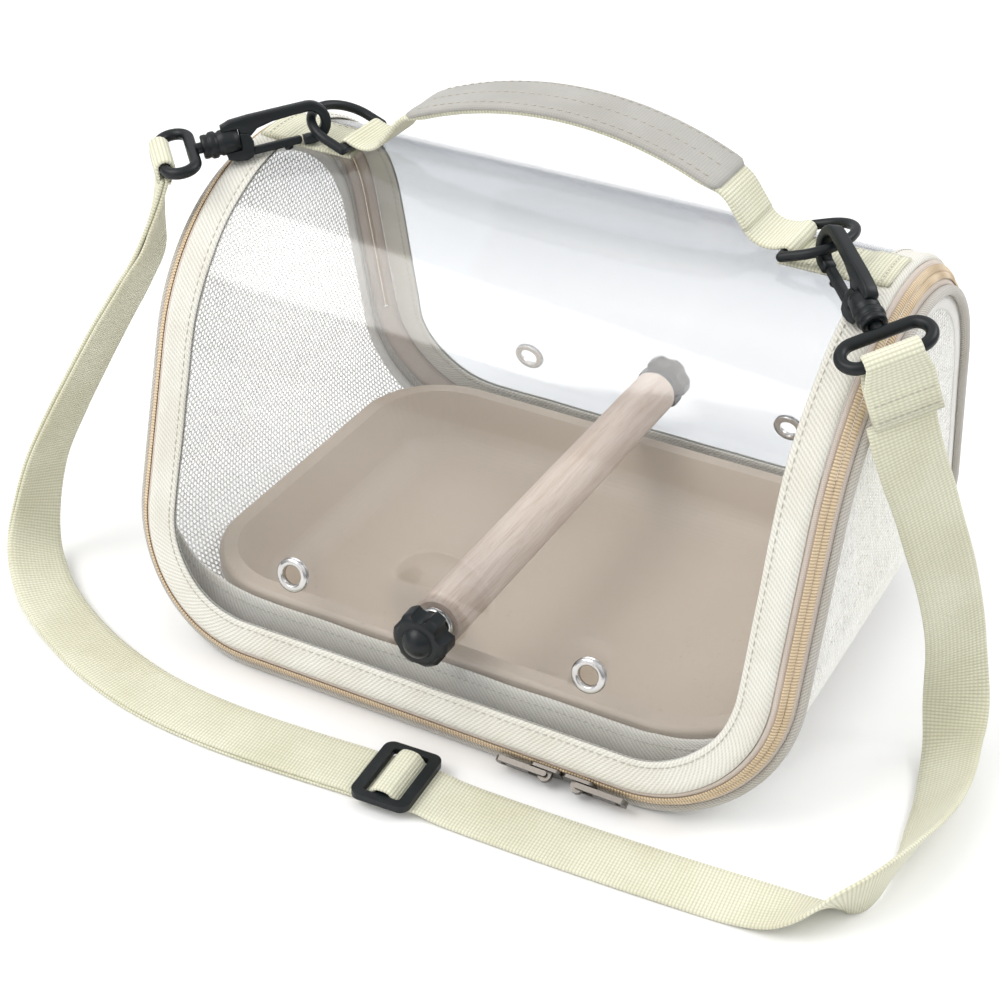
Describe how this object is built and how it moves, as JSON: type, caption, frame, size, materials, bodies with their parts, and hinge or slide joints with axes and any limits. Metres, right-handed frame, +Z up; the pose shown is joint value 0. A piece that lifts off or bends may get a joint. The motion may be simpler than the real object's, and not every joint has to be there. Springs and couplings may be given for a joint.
{
  "type": "bird travel carrier",
  "caption": "Soft-sided travel carrier for a small bird with a clear crowned cover, net ends, wooden perch, floor tray, carrying handle and clip-on shoulder strap.",
  "frame": {"origin": "centre of the body's footprint on the floor", "axes": "+X along the body to its right end as seen from the front, -Y to the front where the zip sliders are, +Z up"},
  "size_m": [0.4096, 0.2761, 0.2247],
  "materials": {
    "base_fabric": "stiffened woven cloth, sand beige",
    "net_fabric": "white mesh cloth",
    "piping_fabric": "grey beige piping cord",
    "tape_fabric": "woven zip tape",
    "coil_plastic": "sewn zip teeth",
    "tray_plastic": "smooth moulded tray",
    "clear_sheet": "clear flexible sheet",
    "binding_fabric": "ribbed cream binding tape",
    "grommet_steel": "rolled eyelet",
    "slider_metal": "die cast zip slider",
    "perch_wood": "turned hardwood",
    "knob_plastic": "moulded black star knob",
    "webbing_fabric": "pale woven webbing",
    "wrap_leather": "soft padded wrap",
    "black_plastic": "moulded black plastic"
  },
  "bodies": {
    "base": {"base_panel": "base_fabric", "left_end_mesh": "net_fabric", "right_end_mesh": "net_fabric", "gusset_piping": "piping_fabric", "zip_tape_base": "tape_fabric", "zip_coil_base": "coil_plastic", "back_hinge_strip": "tape_fabric"},
    "tray": {"tray": "tray_plastic"},
    "left_zip_slider": {"left_zip_slider": "slider_metal"},
    "right_zip_slider": {"right_zip_slider": "slider_metal"},
    "left_zip_pull": {"left_zip_pull": "slider_metal"},
    "right_zip_pull": {"right_zip_pull": "slider_metal"},
    "lid": {"clear_cover": "clear_sheet", "cover_binding": "binding_fabric", "zip_tape_cover": "tape_fabric", "zip_coil_cover": "coil_plastic", "grommet_front_left": "grommet_steel", "grommet_front_mid": "grommet_steel", "grommet_front_right": "grommet_steel", "grommet_back_left": "grommet_steel", "grommet_back_mid": "grommet_steel", "grommet_back_right": "grommet_steel", "perch_dowel": "perch_wood", "left_tab": "webbing_fabric", "right_tab": "webbing_fabric", "left_strap_ring": "black_plastic", "left_strap_fold": "webbing_fabric", "right_strap_ring": "black_plastic", "right_strap_fold": "webbing_fabric", "strap_long": "webbing_fabric", "strap_return": "webbing_fabric", "strap_slider": "black_plastic"},
    "front_knob": {"front_knob": "knob_plastic"},
    "back_knob": {"back_knob": "knob_plastic"},
    "handle": {"handle_webbing": "webbing_fabric", "handle_wrap": "wrap_leather"},
    "left_d_ring": {"left_d_ring": "black_plastic"},
    "right_d_ring": {"right_d_ring": "black_plastic"},
    "left_hook": {"left_hook": "black_plastic"},
    "left_hook_gate": {"left_hook_gate": "black_plastic"},
    "right_hook": {"right_hook": "black_plastic"},
    "right_hook_gate": {"right_hook_gate": "black_plastic"}
  },
  "joints": [
    {"name": "lid_open", "type": "hinge", "parent": "base", "child": "lid", "pos_m": [0, 0.1119, 0.00745], "axis": [-1, 0, 0], "range_deg": [0, 70]},
    {"name": "tray_lift", "type": "slide", "parent": "base", "child": "tray", "axis": [0, 0, 1], "range_m": [0, 0.008]},
    {"name": "left_slider_run", "type": "slide", "parent": "base", "child": "left_zip_slider", "axis": [-1, 0, 0], "range_m": [0, 0.12]},
    {"name": "right_slider_run", "type": "slide", "parent": "base", "child": "right_zip_slider", "axis": [1, 0, 0], "range_m": [0, 0.009]},
    {"name": "left_pull_tilt", "type": "hinge", "parent": "left_zip_slider", "child": "left_zip_pull", "pos_m": [0.0532, -0.11175, 0.00559], "axis": [0, -0.5533, 0.833], "range_deg": [0, 10]},
    {"name": "right_pull_tilt", "type": "hinge", "parent": "right_zip_slider", "child": "right_zip_pull", "pos_m": [0.0668, -0.11175, 0.00559], "axis": [0, 0.5533, -0.833], "range_deg": [0, 10]},
    {"name": "front_knob_turn", "type": "hinge", "parent": "lid", "child": "front_knob", "pos_m": [0, 0, 0.05], "axis": [0, 1, 0], "continuous": true},
    {"name": "back_knob_turn", "type": "hinge", "parent": "lid", "child": "back_knob", "pos_m": [0, 0, 0.05], "axis": [0, 1, 0], "continuous": true},
    {"name": "handle_swing", "type": "hinge", "parent": "lid", "child": "handle", "pos_m": [0, 0, 0.1905], "axis": [1, 0, 0], "range_deg": [-30, 30]},
    {"name": "left_ring_tilt", "type": "hinge", "parent": "lid", "child": "left_d_ring", "pos_m": [-0.091, 0, 0.1895], "axis": [0, 1, 0], "range_deg": [-3, 3]},
    {"name": "right_ring_tilt", "type": "hinge", "parent": "lid", "child": "right_d_ring", "pos_m": [0.091, 0, 0.1895], "axis": [0, -1, 0], "range_deg": [-3, 3]},
    {"name": "left_hook_swivel", "type": "hinge", "parent": "lid", "child": "left_hook", "pos_m": [-0.136, -0.0347, 0.1894], "axis": [0.7302, 0.6621, 0.1685], "range_deg": [-6, 6]},
    {"name": "left_gate_swing", "type": "hinge", "parent": "left_hook", "child": "left_hook_gate", "pos_m": [-0.12718, -0.02833, 0.18549], "axis": [0.6311, -0.7481, 0.2049], "range_deg": [0, 20], "stiffness_Nm_per_rad": 0.05, "springref_deg": -5.73},
    {"name": "right_hook_swivel", "type": "hinge", "parent": "lid", "child": "right_hook", "pos_m": [0.1321, -0.0383, 0.1881], "axis": [-0.6521, 0.7319, 0.1977], "range_deg": [-6, 6]},
    {"name": "right_gate_swing", "type": "hinge", "parent": "right_hook", "child": "right_hook_gate", "pos_m": [0.12408, -0.03081, 0.18448], "axis": [0.7125, 0.6808, -0.1702], "range_deg": [0, 20], "stiffness_Nm_per_rad": 0.05, "springref_deg": -5.73}
  ]
}
